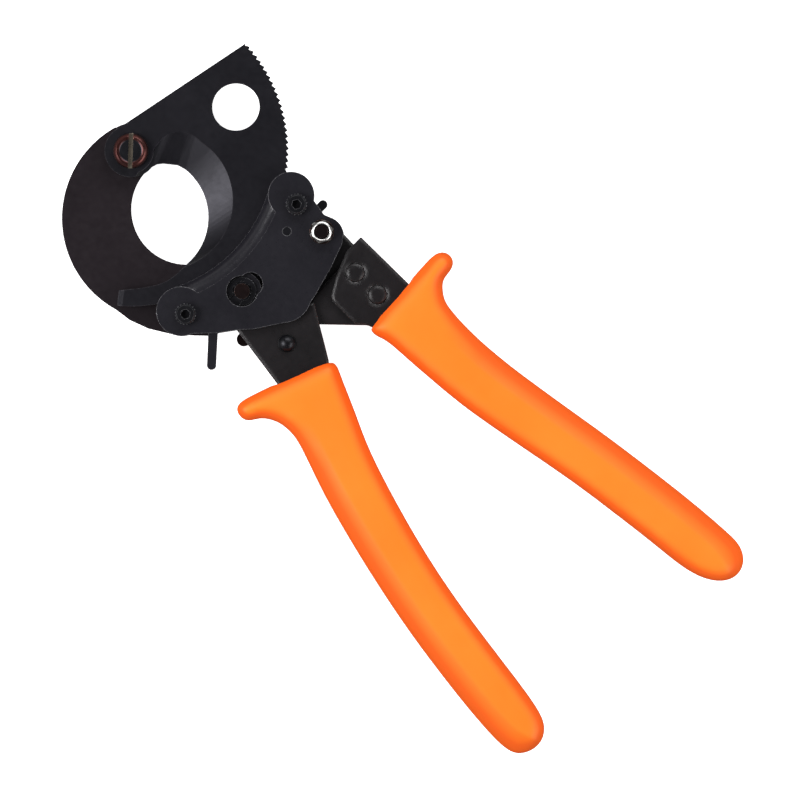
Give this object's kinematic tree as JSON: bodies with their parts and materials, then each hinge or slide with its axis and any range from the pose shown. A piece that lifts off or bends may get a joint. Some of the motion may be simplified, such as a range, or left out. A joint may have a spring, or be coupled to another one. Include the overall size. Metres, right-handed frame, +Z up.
{
  "type": "ratcheting cable cutter",
  "caption": "Two-handed ratcheting cable cutter with a hooked fixed jaw, a toothed swinging blade, a pawl housing between side plates and guarded grips.",
  "frame": {"origin": "on the blade pivot axis, on the rear face of the pivot nut that the tool rests on", "axes": "+X from the blade pivot towards the grip ends, +Y towards the moving handle, +Z up out of the front plate"},
  "size_m": [0.2563, 0.1064, 0.0223],
  "materials": {
    "blade_black": "satin black oxide",
    "jaw_black": "satin black oxide",
    "plate_black": "satin black oxide",
    "screw_black": "black oxide",
    "copper_brown": "copper brown",
    "bright_zinc": "bright zinc",
    "inner_steel": "plain steel",
    "grip_orange": "smooth semi-gloss moulded"
  },
  "bodies": {
    "frame": {"fixed_blade": "jaw_black", "front_plate": "plate_black", "back_plate": "plate_black", "plate_screws": "screw_black", "plate_nuts": "screw_black", "upper_spacer": "inner_steel", "lower_spacer": "inner_steel", "blade_pivot_screw": "copper_brown", "blade_pivot_washer": "inner_steel", "blade_pivot_nut": "screw_black", "handle_pivot_bolt": "copper_brown", "handle_pivot_washer": "copper_brown", "handle_pivot_nut": "bright_zinc", "hinge_sleeves": "inner_steel", "tang_plate": "plate_black", "fixed_handle": "plate_black", "handle_rivet": "screw_black", "fixed_grip": "grip_orange", "stop_pin": "copper_brown", "pawl_pin": "screw_black", "pawl_spring": "inner_steel", "release_pin": "screw_black", "e_clip": "screw_black"},
    "blade": {"moving_blade": "blade_black"},
    "handle": {"lever_plate": "plate_black", "moving_handle": "plate_black", "lever_rivets": "plate_black", "moving_grip": "grip_orange", "drive_pawl_pin": "screw_black"},
    "drive": {"drive_pawl": "screw_black"},
    "hold": {"holding_pawl": "screw_black"},
    "release": {"release_lever": "plate_black"}
  },
  "joints": [
    {"name": "blade_swing", "type": "hinge", "parent": "frame", "child": "blade", "pos_m": [0, 0, 0.0124], "axis": [0, 0, 1], "range_deg": [-74.25, 90]},
    {"name": "handle_swing", "type": "hinge", "parent": "frame", "child": "handle", "pos_m": [0.0648, 0.0262, 0.0108], "axis": [0, 0, 1], "range_deg": [-15, 35]},
    {"name": "drive_pawl_swing", "type": "hinge", "parent": "handle", "child": "drive", "pos_m": [0.072, 0.01, 0.0121], "axis": [0, 0, 1], "range_deg": [-60, 26]},
    {"name": "holding_pawl_swing", "type": "hinge", "parent": "frame", "child": "hold", "pos_m": [0.0564, 0.018, 0.0121], "axis": [0, 0, 1], "range_deg": [0, 8], "stiffness_Nm_per_rad": 0.01},
    {"name": "release_lever_swing", "type": "hinge", "parent": "frame", "child": "release", "pos_m": [0.0599, -0.0069, 0.0152], "axis": [0, 0, 1], "range_deg": [-8, 6], "stiffness_Nm_per_rad": 0.01}
  ],
  "couplings": [
    {"joint": "drive_pawl_swing", "follows": "handle_swing", "ratio": -1.6667}
  ]
}
